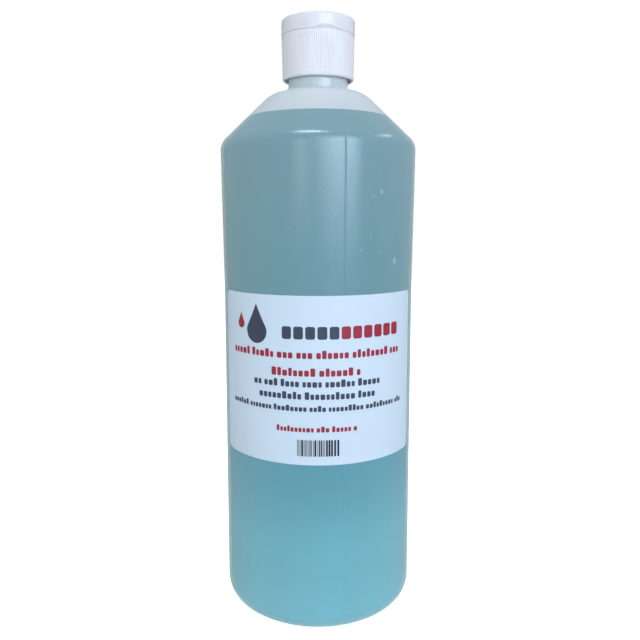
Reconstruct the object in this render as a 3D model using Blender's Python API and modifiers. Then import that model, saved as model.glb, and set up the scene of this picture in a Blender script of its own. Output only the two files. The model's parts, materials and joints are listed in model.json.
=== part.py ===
"""One-litre round bottle of sealing solution with a ribbed flip-top screw cap.

Lengths are in metres. The origin is the centre of the base, +Z points up and the label faces -Y.
The cap is modelled with its thumb recess towards its own -Y and its hinge towards its own +Y,
under an empty that turns it to where it is screwed tight.
"""
import math

import bmesh
import bpy

# Bottle wall, blow-moulded. Heights are measured from the surface that it stands on.
BODY_RADIUS = 0.0409
BASE_ROUNDING = 0.0083
WALL = 0.0011
FOOT_RING_INNER = 0.0295
PUSH_UP = 0.003
TAPER_START = 0.1394
SHOULDER_RADIUS = 0.0417
SHOULDER_HEIGHT = 0.2000
SHOULDER_ROUNDING = 0.00655
CONE_SLOPE = 43.6
DOME_ROUNDING = 0.0147
DOME_TOP = 0.2220

# Neck, a 28 mm finish with a 1.5-turn thread of 6 turns to the inch.
NECK_RADIUS = 0.01266
NECK_ROOT_ROUNDING = 0.0004
BORE_RADIUS = 0.0107
BORE_FOOT_ROUNDING = 0.0011
RIM_HEIGHT = 0.2421
RIM_ROUNDING = 0.0004
THREAD_PITCH = 0.0254 / 6
THREAD_TURNS = 1.5
THREAD_BEAD = 0.001
THREAD_BELOW_RIM = 0.0019
THREAD_BOTTOM = RIM_HEIGHT - THREAD_BELOW_RIM - THREAD_TURNS * THREAD_PITCH

# Liquid, label and liner. Touching pieces are kept apart by the clearance.
CLEARANCE = 0.0003
FILL_HEIGHT = 0.2113
LABEL_WIDTH = 0.0955
LABEL_BOTTOM = 0.0718
LABEL_HEIGHT = 0.0673
LABEL_CORNER = 0.0025
LABEL_THICKNESS = 0.0002
LABEL_STAND_OFF = 0.00012
LINER_THICKNESS = 0.0009
LINER_INNER = 0.0102
LINER_OUTER = 0.0132
LINER_GAP = 0.0002

# Cap base. Its thread's tip clears the neck as the neck thread's tip clears the skirt.
CAP_TURN = 13.0
CAP_RADIUS = 0.01543
CAP_INNER_RADIUS = NECK_RADIUS + THREAD_BEAD + CLEARANCE
CAP_EDGE_ROUNDING = 0.0004
CAP_FOOT_ROUNDING = 0.0008
CAP_TAPER = 0.0003
CAP_LEAD_IN = 0.0003
CAP_THREAD_TURNS = 1.75
CAP_THREAD_DROP = 0.0019
DECK_THICKNESS = 0.00125
DECK_BOTTOM = RIM_HEIGHT + LINER_THICKNESS + 2 * LINER_GAP
DECK_TOP = DECK_BOTTOM + DECK_THICKNESS
SKIRT_HEIGHT = 0.0182
CAP_BOTTOM = DECK_TOP - SKIRT_HEIGHT
LAND_RING_INNER = 0.0128
LAND_RING_OUTER = 0.0137
LAND_RING_HEIGHT = 0.001
SPOUT_HEIGHT = 0.0038
SPOUT_TOP_RADIUS = 0.0030
SPOUT_FOOT_RADIUS = 0.0043
ORIFICE_RADIUS = 0.0016

# Flip lid, closed on the cap base.
LID_RADIUS = 0.01556
LID_INNER_RADIUS = 0.01427
LID_HEIGHT = 0.00645
LID_BOTTOM = DECK_TOP + CLEARANCE
LID_TOP = LID_BOTTOM + LID_HEIGHT
LID_EDGE_ROUNDING = 0.0012
LID_TOP_THICKNESS = 0.0013
LID_INNER_ROUNDING = 0.0008
PLUG_RADIUS = 0.0013
PLUG_LENGTH = 0.0030
PLUG_TIP_ROUNDING = 0.0005
THUMB_HEIGHT = 0.0017
THUMB_DEPTH = 0.00095

# Living hinge: two films that fold round the axis, and a strap between them.
HINGE_DEPTH = 0.01625
HINGE_HEIGHT = (DECK_TOP + LID_BOTTOM) / 2
EAR_DEPTH = 0.01565
EAR_HEIGHT = 0.0014
EAR_ROOT_DEPTH = 0.0136
FILM_OFFSET = 0.0048
FILM_WIDTH = 0.0034
FILM_THICKNESS = 0.00025
FILM_ROUNDING = 0.0004
FILM_GAP = 0.00005
STRAP_WIDTH = 0.0042
STRAP_THICKNESS = 0.0004
STRAP_REACH = 0.0017
STRAP_DEPTH = 0.01525
WINDOW_DEPTH = 0.01475

# Fineness of the mesh.
BOTTLE_STEPS = 48
CAP_STEPS = 48
THREAD_STEPS = 24
RUN_OUT_STEPS = 4
MERGE_DISTANCE = 0.00001


def start_scene():
    """Empty the scene and give the two collections, one for the parts and one for the cutters."""
    for item in list(bpy.data.objects):
        bpy.data.objects.remove(item)
    parts = bpy.data.collections.new("sealing_solution_bottle")
    cutters = bpy.data.collections.new("cutters")
    for collection in (parts, cutters):
        bpy.context.scene.collection.children.link(collection)
    return parts, cutters


def plastic(name, colour, roughness):
    """Principled material of one colour."""
    material = bpy.data.materials.new(name)
    material.use_nodes = True
    shader = material.node_tree.nodes["Principled BSDF"]
    shader.inputs["Base Color"].default_value = (*colour, 1.0)
    shader.inputs["Roughness"].default_value = roughness
    shader.inputs["Metallic"].default_value = 0.0
    return material


def place(name, data, collection, parent=None, material=None):
    """Put a mesh or curve in the scene as a named object."""
    item = bpy.data.objects.new(name, data)
    collection.objects.link(item)
    item.parent = parent
    if material:
        data.materials.append(material)
    return item


def arc(centre_r, centre_z, radius, start, end, steps):
    """Points of an arc in the (r, z) plane, from start to end degrees, both ends included."""
    points = []
    for index in range(steps + 1):
        angle = math.radians(start + (end - start) * index / steps)
        points.append((centre_r + radius * math.cos(angle), centre_z + radius * math.sin(angle)))
    return points


def turned(name, profile, steps, collection, parent=None, material=None, ring=False):
    """Solid of revolution: the profile's outer side runs from top to bottom."""
    mesh = bpy.data.meshes.new(name)
    edges = [(index, index + 1) for index in range(len(profile) - 1)]
    if ring:
        edges.append((len(profile) - 1, 0))
    mesh.from_pydata([(r, 0.0, z) for r, z in profile], edges, [])
    item = place(name, mesh, collection, parent, material)
    screw = item.modifiers.new("turn", "SCREW")
    screw.steps = steps
    screw.render_steps = steps
    screw.use_merge_vertices = True
    screw.merge_threshold = MERGE_DISTANCE
    screw.use_smooth_shade = True
    return item


def floor_profile(inset):
    """Pushed-up base from the axis to the foot ring, moved into the bottle by inset."""
    sphere = (FOOT_RING_INNER**2 + PUSH_UP**2) / (2 * PUSH_UP)
    reach = math.degrees(math.asin(FOOT_RING_INNER / sphere))
    return arc(0.0, PUSH_UP - sphere, sphere + inset, 90, 90 - reach, 4)


def wall_profile(inset):
    """Wall from the foot ring up to the root of the neck, moved into the bottle by inset."""
    turn = 90 - CONE_SLOPE
    corner_z = SHOULDER_HEIGHT - SHOULDER_ROUNDING * math.tan(math.radians(turn / 2))
    shoulder = arc(
        SHOULDER_RADIUS - SHOULDER_ROUNDING, corner_z, SHOULDER_ROUNDING - inset, 0, turn, 4
    )
    dome_r = NECK_RADIUS + NECK_ROOT_ROUNDING
    dome = arc(dome_r, DOME_TOP - DOME_ROUNDING, DOME_ROUNDING - inset, turn, 90, 4)
    foot = arc(BODY_RADIUS - BASE_ROUNDING, BASE_ROUNDING, BASE_ROUNDING - inset, -90, 0, 6)
    return foot + [(BODY_RADIUS - inset, TAPER_START)] + shoulder + dome


def neck_outside():
    """Outside of the neck, from the rim down to its root."""
    top = RIM_HEIGHT - RIM_ROUNDING
    root_z = DOME_TOP + NECK_ROOT_ROUNDING
    rim = arc(NECK_RADIUS - RIM_ROUNDING, top, RIM_ROUNDING, 90, 0, 2)
    root = arc(NECK_RADIUS + NECK_ROOT_ROUNDING, root_z, NECK_ROOT_ROUNDING, 180, 225, 1)
    return rim + root


def bore_inside():
    """Bore of the neck, from the underside of the dome up to the rim."""
    foot_z = DOME_TOP - WALL + BORE_FOOT_ROUNDING
    foot = arc(BORE_RADIUS + BORE_FOOT_ROUNDING, foot_z, BORE_FOOT_ROUNDING, 270, 180, 3)
    rim = arc(BORE_RADIUS + RIM_ROUNDING, RIM_HEIGHT - RIM_ROUNDING, RIM_ROUNDING, 180, 90, 2)
    return foot + rim


def thread_ridge(name, radius, bottom, turns, collection):
    """Right-hand helical bead centred on the wall, its two ends running out into it."""
    curve = bpy.data.curves.new(name, "CURVE")
    curve.dimensions = "3D"
    curve.bevel_depth = THREAD_BEAD
    curve.bevel_resolution = 2
    curve.use_fill_caps = True
    steps = round(turns * THREAD_STEPS)
    spline = curve.splines.new("POLY")
    spline.points.add(steps)
    for index, point in enumerate(spline.points):
        turn = index / THREAD_STEPS
        x = radius * math.cos(math.tau * turn)
        y = radius * math.sin(math.tau * turn)
        point.co = (x, y, bottom + THREAD_PITCH * turn, 1.0)
        steps_to_end = min(index, steps - index)
        point.radius = min(1.0, (1 + steps_to_end) / (1 + RUN_OUT_STEPS))
    return cutter_from_curve(name, curve, collection)


def cutter_from_curve(name, curve, collection, parent=None):
    """Turn a curve into a closed mesh object that a Boolean can use."""
    return as_cutter(solid_from_curve(name, curve, collection, parent))


def solid_from_curve(name, curve, collection, parent=None, material=None):
    """Turn a curve into a closed mesh object."""
    guide = place(name + "_guide", curve, collection)
    bpy.context.view_layer.update()
    evaluated = guide.evaluated_get(bpy.context.evaluated_depsgraph_get())
    mesh = bpy.data.meshes.new_from_object(evaluated)
    weld(mesh)
    bpy.data.objects.remove(guide)
    return place(name, mesh, collection, parent, material)


def weld(mesh):
    """Join the loose caps of a converted curve to its sides."""
    shape = bmesh.new()
    shape.from_mesh(mesh)
    bmesh.ops.remove_doubles(shape, verts=shape.verts, dist=MERGE_DISTANCE / 10)
    bmesh.ops.recalc_face_normals(shape, faces=shape.faces)
    shape.to_mesh(mesh)
    shape.free()


def as_cutter(item):
    """Mark an object as a tool that is not part of the bottle."""
    item.hide_render = True
    item.display_type = "WIRE"
    return item


def boolean(item, tool, operation):
    """Join the tool to the item, or cut it away."""
    modifier = item.modifiers.new(operation.lower() + "_" + tool.name, "BOOLEAN")
    modifier.operation = operation
    modifier.object = tool
    return modifier


def box(name, low, high, collection, parent=None, material=None):
    """Box between two corners."""
    mesh = bpy.data.meshes.new(name)
    shape = bmesh.new()
    bmesh.ops.create_cube(shape, size=1.0)
    for vert in shape.verts:
        for axis in range(3):
            vert.co[axis] = low[axis] + (high[axis] - low[axis]) * (vert.co[axis] + 0.5)
    shape.to_mesh(mesh)
    shape.free()
    return place(name, mesh, collection, parent, material)


def flat_outline(name, points, thickness):
    """Filled 2D curve of a flat outline, drawn in the local XY plane and centred on it."""
    curve = bpy.data.curves.new(name, "CURVE")
    curve.dimensions = "2D"
    curve.fill_mode = "BOTH"
    curve.extrude = thickness / 2
    spline = curve.splines.new("POLY")
    spline.points.add(len(points) - 1)
    for point, (x, y) in zip(spline.points, points):
        point.co = (x, y, 0.0, 1.0)
    spline.use_cyclic_u = True
    return curve


def make_bottle(parts, cutters, material):
    """Blow-moulded bottle: base, wall, shoulder, neck and thread in one piece."""
    inside = floor_profile(WALL) + wall_profile(WALL) + bore_inside()
    outside = neck_outside() + wall_profile(0.0)[::-1] + floor_profile(0.0)[::-1]
    bottle = turned("bottle", inside + outside, BOTTLE_STEPS, parts, material=material)
    ridge = thread_ridge("neck_thread", NECK_RADIUS, THREAD_BOTTOM, THREAD_TURNS, cutters)
    boolean(bottle, ridge, "UNION")
    return bottle


def fill_profile(inset):
    """Outline of the liquid from its level at the wall down to the middle of the base."""
    wall = [point for point in wall_profile(inset) if point[1] < FILL_HEIGHT]
    slope = math.radians(CONE_SLOPE)
    corner_r, corner_z = wall[-1]
    surface_r = corner_r - (FILL_HEIGHT - corner_z) / math.tan(slope)
    return [(0.0, FILL_HEIGHT), (surface_r, FILL_HEIGHT)] + wall[::-1] + floor_profile(inset)[::-1]


def make_solution(parts, material):
    """Liquid fill, just clear of the wall, up to its level in the shoulder cone."""
    profile = fill_profile(WALL + CLEARANCE)
    return turned("sealing_solution", profile, BOTTLE_STEPS, parts, material=material)


def make_label(parts, material):
    """Self-adhesive label: a sheet with rounded corners, wrapped round the front of the wall."""
    mesh = bpy.data.meshes.new("front_label")
    shape = bmesh.new()
    bmesh.ops.create_grid(shape, x_segments=32, y_segments=1, size=0.5)
    for vert in shape.verts:
        vert.co.x *= LABEL_WIDTH
        vert.co.y *= LABEL_HEIGHT
    corners = [vert for vert in shape.verts if abs(abs(vert.co.x) - LABEL_WIDTH / 2) < 1e-6]
    bmesh.ops.bevel(
        shape, geom=corners, offset=LABEL_CORNER, offset_type="OFFSET", segments=4, profile=0.5,
        affect="VERTICES",
    )
    radius = BODY_RADIUS + LABEL_STAND_OFF
    for vert in shape.verts:
        angle = vert.co.x / radius
        height = LABEL_BOTTOM + LABEL_HEIGHT / 2 + vert.co.y
        vert.co = (radius * math.sin(angle), -radius * math.cos(angle), height)
    shape.to_mesh(mesh)
    shape.free()
    label = place("front_label", mesh, parts, material=material)
    shell = label.modifiers.new("film", "SOLIDIFY")
    shell.thickness = LABEL_THICKNESS
    shell.offset = 1.0
    return label


def make_liner(parts, cap, material):
    """Foam sealing ring between the neck's rim and the cap's deck."""
    low = RIM_HEIGHT + LINER_GAP
    high = low + LINER_THICKNESS
    profile = [(LINER_OUTER, high), (LINER_OUTER, low), (LINER_INNER, low), (LINER_INNER, high)]
    return turned("liner", profile, CAP_STEPS, parts, cap, material, ring=True)


def cap_profile():
    """Section of the cap base: spout, deck and skirt outside, then skirt and deck inside."""
    ring_top = DECK_TOP + LAND_RING_HEIGHT
    spout_top = DECK_TOP + SPOUT_HEIGHT
    edge = CAP_EDGE_ROUNDING
    foot = CAP_FOOT_ROUNDING
    spout = [(SPOUT_TOP_RADIUS - edge / 2, spout_top), (SPOUT_TOP_RADIUS, spout_top - edge / 2)]
    deck = [
        (SPOUT_FOOT_RADIUS, DECK_TOP),
        (LAND_RING_INNER, DECK_TOP),
        (LAND_RING_INNER, ring_top),
        (LAND_RING_OUTER - edge / 2, ring_top),
        (LAND_RING_OUTER, ring_top - edge / 2),
        (LAND_RING_OUTER, DECK_TOP),
    ]
    skirt = arc(CAP_RADIUS - edge / 2, DECK_TOP - edge / 2, edge / 2, 90, 0, 1)
    skirt += arc(CAP_RADIUS - CAP_TAPER - foot, CAP_BOTTOM + foot, foot, 0, -90, 3)
    inside = [
        (CAP_INNER_RADIUS + CAP_LEAD_IN, CAP_BOTTOM),
        (CAP_INNER_RADIUS, CAP_BOTTOM + CAP_LEAD_IN),
        (CAP_INNER_RADIUS, DECK_BOTTOM),
        (ORIFICE_RADIUS, DECK_BOTTOM),
        (ORIFICE_RADIUS, spout_top),
    ]
    return spout + deck + skirt + inside


def ear(name, side, towards, collection, parent):
    """Block that carries one hinge film, on the base below the axis or on the lid above it."""
    near = DECK_TOP if towards < 0 else LID_BOTTOM
    far = near + towards * EAR_HEIGHT
    low = (side * FILM_OFFSET - FILM_WIDTH / 2, EAR_ROOT_DEPTH, min(near, far))
    high = (side * FILM_OFFSET + FILM_WIDTH / 2, EAR_DEPTH, max(near, far))
    return as_cutter(box(name, low, high, collection, parent))


def window(name, towards, collection, parent):
    """Recess at the back that clears the strap, in the base or in the lid."""
    near = HINGE_HEIGHT - towards * CLEARANCE * 2
    far = HINGE_HEIGHT + towards * (STRAP_REACH + CLEARANCE)
    half = STRAP_WIDTH / 2 + CLEARANCE
    low = (-half, WINDOW_DEPTH, min(near, far))
    high = (half, HINGE_DEPTH, max(near, far))
    return as_cutter(box(name, low, high, collection, parent))


def make_cap_base(parts, cutters, cap, material):
    """Screw cap with its skirt, internal thread, deck, spout and the two lower hinge ears."""
    base = turned("cap_base", cap_profile(), CAP_STEPS, parts, cap, material, ring=True)
    bottom = THREAD_BOTTOM - CAP_THREAD_DROP
    ridge = thread_ridge("cap_thread", CAP_INNER_RADIUS, bottom, CAP_THREAD_TURNS, cutters)
    boolean(base, ridge, "UNION")
    for side, word in ((-1, "left"), (1, "right")):
        boolean(base, ear("base_ear_" + word, side, -1, cutters, cap), "UNION")
    boolean(base, window("base_window", -1, cutters, cap), "DIFFERENCE")
    return base


def lid_profile():
    """Section of the lid: top and side outside, then side, ceiling and plug inside."""
    ceiling = LID_TOP - LID_TOP_THICKNESS
    rounding = LID_INNER_ROUNDING
    plug_bottom = ceiling - PLUG_LENGTH
    outside = [(0.0, LID_TOP)]
    outside += arc(
        LID_RADIUS - LID_EDGE_ROUNDING, LID_TOP - LID_EDGE_ROUNDING, LID_EDGE_ROUNDING, 90, 0, 4
    )
    outside += [(LID_RADIUS, LID_BOTTOM), (LID_INNER_RADIUS, LID_BOTTOM)]
    inside = arc(LID_INNER_RADIUS - rounding, ceiling - rounding, rounding, 0, 90, 2)
    plug = [(PLUG_RADIUS + rounding, ceiling), (PLUG_RADIUS, ceiling - rounding)]
    tip_z = plug_bottom + PLUG_TIP_ROUNDING
    plug += arc(PLUG_RADIUS - PLUG_TIP_ROUNDING, tip_z, PLUG_TIP_ROUNDING, 0, -90, 2)
    return outside + inside + plug + [(0.0, plug_bottom)]


def thumb_cutter(collection, parent):
    """Wedge whose slanted face runs in under the front of the lid's lower rim."""
    over = THUMB_HEIGHT / 4
    slope = THUMB_DEPTH / THUMB_HEIGHT
    side = [
        (-2 * LID_RADIUS, -over),
        (-LID_RADIUS + THUMB_DEPTH + slope * over, -over),
        (-LID_RADIUS - slope * over, THUMB_HEIGHT + over),
        (-2 * LID_RADIUS, THUMB_HEIGHT + over),
    ]
    outline = flat_outline("thumb_recess", side, 2 * LID_RADIUS)
    cutter = cutter_from_curve("thumb_recess", outline, collection, parent)
    cutter.rotation_euler = (math.pi / 2, 0.0, math.pi / 2)
    cutter.location = (0.0, 0.0, LID_BOTTOM)
    return cutter


def make_lid(parts, cutters, lid_axis, material):
    """Flip lid with its sealing plug, thumb recess and the two upper hinge ears."""
    lid = turned("flip_lid", lid_profile(), CAP_STEPS, parts, lid_axis, material)
    lid.location = (0.0, -HINGE_DEPTH, -HINGE_HEIGHT)
    cap = lid_axis.parent
    for side, word in ((-1, "left"), (1, "right")):
        boolean(lid, ear("lid_ear_" + word, side, 1, cutters, cap), "UNION")
    boolean(lid, window("lid_window", 1, cutters, cap), "DIFFERENCE")
    boolean(lid, thumb_cutter(cutters, cap), "DIFFERENCE")
    return lid


def make_hinge_film(word, side, parts, cap, material):
    """Film that leaves the base's ear, folds round the hinge axis and enters the lid's ear."""
    outer = FILM_ROUNDING + FILM_THICKNESS / 2
    inner = FILM_ROUNDING - FILM_THICKNESS / 2
    start = EAR_DEPTH + FILM_GAP
    outline = [(start, -outer)] + arc(start + FILM_GAP, 0.0, outer, -90, 90, 8) + [(start, outer)]
    outline += [(start, inner)] + arc(start + FILM_GAP, 0.0, inner, 90, -90, 8) + [(start, -inner)]
    name = "hinge_web_" + word
    curve = flat_outline(name, outline, FILM_WIDTH)
    film = solid_from_curve(name, curve, parts, cap, material)
    film.rotation_euler = (math.pi / 2, 0.0, math.pi / 2)
    film.location = (side * FILM_OFFSET, 0.0, HINGE_HEIGHT)
    return film


def make_strap(parts, cap, material):
    """Strap of the living hinge: it stretches half-way and so snaps the lid open or shut."""
    low = (-STRAP_WIDTH / 2, STRAP_DEPTH - STRAP_THICKNESS / 2, HINGE_HEIGHT - STRAP_REACH)
    high = (STRAP_WIDTH / 2, STRAP_DEPTH + STRAP_THICKNESS / 2, HINGE_HEIGHT + STRAP_REACH)
    return box("snap_strap", low, high, parts, cap, material)


def axis_empty(name, collection, location, turn=0.0, parent=None):
    """Empty on a joint's axis."""
    empty = place(name, None, collection, parent)
    empty.location = location
    empty.rotation_euler = (0.0, 0.0, math.radians(turn))
    return empty


def main():
    parts, cutters = start_scene()
    natural = plastic("natural_polyethylene", (0.74, 0.82, 0.85), 0.38)
    teal = plastic("teal_solution", (0.17, 0.45, 0.52), 0.12)
    film = plastic("label_film", (0.86, 0.91, 0.95), 0.42)
    white = plastic("white_polypropylene", (0.86, 0.88, 0.92), 0.30)
    foam = plastic("white_foam", (0.82, 0.83, 0.84), 0.80)

    make_bottle(parts, cutters, natural)
    make_solution(parts, teal)
    make_label(parts, film)

    cap = axis_empty("cap_axis", parts, (0.0, 0.0, 0.0), CAP_TURN)
    lid_axis = axis_empty("lid_axis", parts, (0.0, HINGE_DEPTH, HINGE_HEIGHT), parent=cap)
    make_liner(parts, cap, foam)
    make_cap_base(parts, cutters, cap, white)
    make_lid(parts, cutters, lid_axis, white)
    for side, word in ((-1, "left"), (1, "right")):
        make_hinge_film(word, side, parts, cap, white)
    make_strap(parts, cap, white)


main()
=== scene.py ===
"""Looks of the sealing solution bottle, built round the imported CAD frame. Lengths are in metres."""
import json
import math
import random

import bmesh
import bpy
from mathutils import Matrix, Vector


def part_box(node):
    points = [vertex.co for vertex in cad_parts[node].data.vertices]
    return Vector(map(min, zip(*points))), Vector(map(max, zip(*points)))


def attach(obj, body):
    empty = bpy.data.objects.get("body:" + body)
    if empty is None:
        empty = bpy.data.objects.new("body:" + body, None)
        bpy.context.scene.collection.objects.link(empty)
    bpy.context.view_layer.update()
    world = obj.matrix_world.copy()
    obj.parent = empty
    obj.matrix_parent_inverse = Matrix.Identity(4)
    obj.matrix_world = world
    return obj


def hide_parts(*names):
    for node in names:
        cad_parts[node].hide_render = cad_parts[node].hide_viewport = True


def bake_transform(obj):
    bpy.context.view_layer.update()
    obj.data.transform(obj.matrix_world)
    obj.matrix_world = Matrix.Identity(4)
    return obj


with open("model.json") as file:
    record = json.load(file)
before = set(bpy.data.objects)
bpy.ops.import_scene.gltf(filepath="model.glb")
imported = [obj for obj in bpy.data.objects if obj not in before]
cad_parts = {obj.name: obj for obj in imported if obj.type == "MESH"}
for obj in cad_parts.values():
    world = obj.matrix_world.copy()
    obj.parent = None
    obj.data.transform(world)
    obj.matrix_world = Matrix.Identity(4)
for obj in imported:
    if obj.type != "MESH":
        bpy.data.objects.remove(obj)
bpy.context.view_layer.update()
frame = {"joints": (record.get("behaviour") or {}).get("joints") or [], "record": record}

# Sizes that the frame gives.
BOTTLE_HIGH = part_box("bottle")[1]
LABEL_LOW, LABEL_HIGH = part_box("front_label")
LINER_LOW, LINER_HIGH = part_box("liner")
CAP_LOW, CAP_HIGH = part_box("cap_base")
LID_LOW, LID_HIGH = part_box("flip_lid")
SHOULDER_RADIUS = BOTTLE_HIGH.x
RIM_HEIGHT = BOTTLE_HIGH.z
FILL_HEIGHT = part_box("sealing_solution")[1].z
JOINTS = {joint["name"]: joint for joint in frame["joints"]}
HINGE_POINT = Vector(JOINTS["lid_flip"]["pos_m"])
HINGE_BACK = Vector((HINGE_POINT.x, HINGE_POINT.y, 0.0)).normalized()
HINGE_DEPTH = HINGE_POINT.xy.length
HINGE_HEIGHT = HINGE_POINT.z
THREAD_PITCH = math.tau * frame["record"]["behaviour"]["couplings"][0]["ratio"]

# Bottle wall, as in the frame's design.
BODY_RADIUS = 0.0409
BASE_ROUNDING = 0.0083
WALL = 0.0011
FOOT_RING_INNER = 0.0295
PUSH_UP = 0.003
SHOULDER_HEIGHT = 0.2000
SHOULDER_ROUNDING = 0.00655
CONE_SLOPE = 43.6
CORNER_HEIGHT = SHOULDER_HEIGHT - SHOULDER_ROUNDING * math.tan(math.radians(45 - CONE_SLOPE / 2))
DOME_ROUNDING = 0.0147
DOME_TOP = 0.2220
NECK_RADIUS = 0.01266
NECK_ROOT_ROUNDING = 0.0004
BORE_RADIUS = 0.0107
BORE_FOOT_ROUNDING = 0.0011
RIM_ROUNDING = 0.0004
THREAD_TURNS = 1.5
THREAD_BEAD = 0.001
THREAD_BELOW_RIM = 0.0019
THREAD_BOTTOM = RIM_HEIGHT - THREAD_BELOW_RIM - THREAD_TURNS * THREAD_PITCH
SEAM_AZIMUTH = 14.5
SEAM_WIDTH = 0.00026
SEAM_HEIGHT = 0.00022

# Liquid, the height to which the wall is wet, and the air bubbles on the wall.
TIDE_HEIGHT = FILL_HEIGHT - 0.0006
LIQUID_GAP = 0.00004
MENISCUS = 0.0008
MENISCUS_REACH = 0.008
MENISCUS_FALL = 0.0018
BUBBLE_DEPTH = 0.00006
# Azimuth to the right of the camera, height, radius in millimetres, and height over width.
FRONT_BUBBLES = (
    (35.8, 0.1856, 0.40, 1.0),
    (45.2, 0.1861, 0.40, 1.0),
    (36.6, 0.1791, 0.85, 1.5),
    (31.1, 0.1771, 0.40, 1.1),
    (27.5, 0.1735, 0.33, 1.0),
    (37.6, 0.1641, 0.30, 1.0),
    (29.8, 0.1615, 0.36, 1.0),
    (38.4, 0.1617, 0.30, 1.0),
    (46.3, 0.1620, 0.30, 1.0),
    (41.4, 0.1589, 0.30, 1.0),
    (23.8, 0.1564, 0.36, 1.2),
    (35.6, 0.1557, 0.38, 1.1),
    (48.1, 0.1520, 1.20, 1.45),
    (44.9, 0.1494, 0.33, 1.0),
)
BACK_BUBBLES = 26

# Cap, lid and hinge, as in the frame's design.
CAP_RADIUS = 0.01543
CAP_INNER_RADIUS = NECK_RADIUS + THREAD_BEAD + 0.0003
CAP_EDGE_ROUNDING = 0.0004
CAP_FOOT_ROUNDING = 0.0008
CAP_TAPER = 0.0003
CAP_LEAD_IN = 0.0003
CAP_THREAD_TURNS = 1.75
CAP_THREAD_DROP = 0.0019
CAP_BOTTOM = CAP_LOW.z
DECK_BOTTOM = LINER_HIGH.z + 0.0002
DECK_TOP = DECK_BOTTOM + 0.00125
LAND_RING_INNER = 0.0128
LAND_RING_OUTER = 0.0137
LAND_RING_HEIGHT = 0.001
SPOUT_TOP = CAP_HIGH.z
SPOUT_TOP_RADIUS = 0.0030
SPOUT_FOOT_RADIUS = 0.0043
ORIFICE_RADIUS = 0.0016
RIB_COUNT = 108
RIB_DEPTH = 0.00016
LID_RADIUS = 0.01556
LID_INNER_RADIUS = 0.01427
LID_BOTTOM = LID_LOW.z
LID_TOP = LID_HIGH.z
LID_EDGE_ROUNDING = 0.0012
LID_TOP_THICKNESS = 0.0013
LID_INNER_ROUNDING = 0.0008
LID_RIM_ROUNDING = 0.00035
PLUG_RADIUS = 0.0013
PLUG_LENGTH = 0.0030
PLUG_TIP_ROUNDING = 0.0005
RIM_DROP = 0.00024
THUMB_HEIGHT = 0.0015
THUMB_DEPTH = 0.0011
EAR_DEPTH = 0.01565
EAR_HEIGHT = 0.0014
EAR_ROOT_DEPTH = 0.0136
FILM_OFFSET = 0.0048
FILM_WIDTH = 0.0034
FILM_THICKNESS = 0.00025
FILM_ROUNDING = 0.0004
STRAP_WIDTH = 0.0042
STRAP_THICKNESS = 0.0004
STRAP_REACH = 0.0017
STRAP_DEPTH = 0.01525
WINDOW_DEPTH = 0.01475
STRAP_GAP = 0.0003
LINER_INNER_RADIUS = 0.0102
LINER_OUTER_RADIUS = 0.0132
LINER_ROUNDING = 0.00015

# Label, and the plain marks printed on it.
LABEL_STAND_OFF = 0.00006
LABEL_THICKNESS = 0.00016
LABEL_CORNER = 0.0025
LABEL_WIDTH = 0.0955
INK_STAND_OFF = 0.00002
INK_THICKNESS = 0.00002
# Lines of print: ink, left end, right end, baseline, height of the tallest block, blocks to a word.
PRINT_LINES = (
    ("crimson", -0.0400, 0.0397, 0.1145, 0.0033, 6),
    ("crimson", -0.0189, 0.0183, 0.1075, 0.0033, 7),
    ("slate", -0.0274, 0.0272, 0.1032, 0.0030, 5),
    ("slate", -0.0248, 0.0241, 0.0983, 0.0030, 6),
    ("slate", -0.0408, 0.0404, 0.0935, 0.0024, 6),
    ("crimson", -0.0168, 0.0162, 0.0852, 0.0024, 6),
)
HEADING_LEFT, HEADING_HEIGHT, HEADING_STEP = -0.0148, 0.1246, 0.0047
HEADING_BLOCKS, HEADING_SLATE_BLOCKS = 11, 5
BAR_CODE_HALF, BAR_CODE_HEIGHT, BAR_LENGTH = 0.0083, 0.0787, 0.0066

# Colour up the bottle, where the wall is wet and tinted by the solution, and where it is dry. The teal
# also carries painted light: it is brighter and clearer towards the base, standing in for the floor's
# light through the solution, and a little lighter towards the shoulder.
TEAL_WITH_PAINTED_FLOOR_LIGHT = (
    (0.004, (0.215, 0.59, 0.68)),
    (0.030, (0.175, 0.53, 0.615)),
    (0.067, (0.115, 0.39, 0.48)),
    (0.143, (0.160, 0.345, 0.395)),
    (0.190, (0.190, 0.36, 0.41)),
    (0.211, (0.205, 0.37, 0.425)),
)
# Painted light: the dry milky white grows brighter up the neck, standing in for the light that reaches
# the neck in the cap's shade.
MILK_WITH_PAINTED_NECK_LIGHT = ((0.211, (0.72, 0.76, 0.80)), (0.225, (0.80, 0.85, 0.89)))

# Lights: glowing panels on a sphere round the bottle.
PANEL_DISTANCE = 1.3
PANEL_CENTRE = 0.17

# Fineness of the meshes.
BOTTLE_COLUMNS = 192
CAP_COLUMNS = 144
RIB_COLUMNS = 6
SHARP_EDGE = math.radians(32)


# ---------------------------------------------------------------- shapes

def arc(centre_r, centre_z, radius, start, end, steps):
    """Points of an arc in the (r, z) plane, from start to end degrees, both ends included."""
    points = []
    for index in range(steps + 1):
        angle = math.radians(start + (end - start) * index / steps)
        points.append((centre_r + radius * math.cos(angle), centre_z + radius * math.sin(angle)))
    return points


def smooth(value):
    """Ease from 0 to 1, flat at both ends and beyond them."""
    value = min(1.0, max(0.0, value))
    return value * value * (3.0 - 2.0 * value)


def line(start, end, steps):
    """Points between two points of the (r, z) plane, both ends left out."""
    shares = [index / steps for index in range(1, steps)]
    return [tuple(a + (b - a) * share for a, b in zip(start, end)) for share in shares]


def even_angles(count, turn=0.0):
    """Angles round the axis, in degrees from +X."""
    return [turn + 360.0 * index / count for index in range(count)]


def finish_mesh(item, material=None):
    """Smooth shading with real edges kept sharp, and the piece's material if it has none yet."""
    item.data.shade_smooth()
    item.data.set_sharp_from_angle(angle=SHARP_EDGE)
    if material:
        item.data.materials.append(material)
    return item


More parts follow.
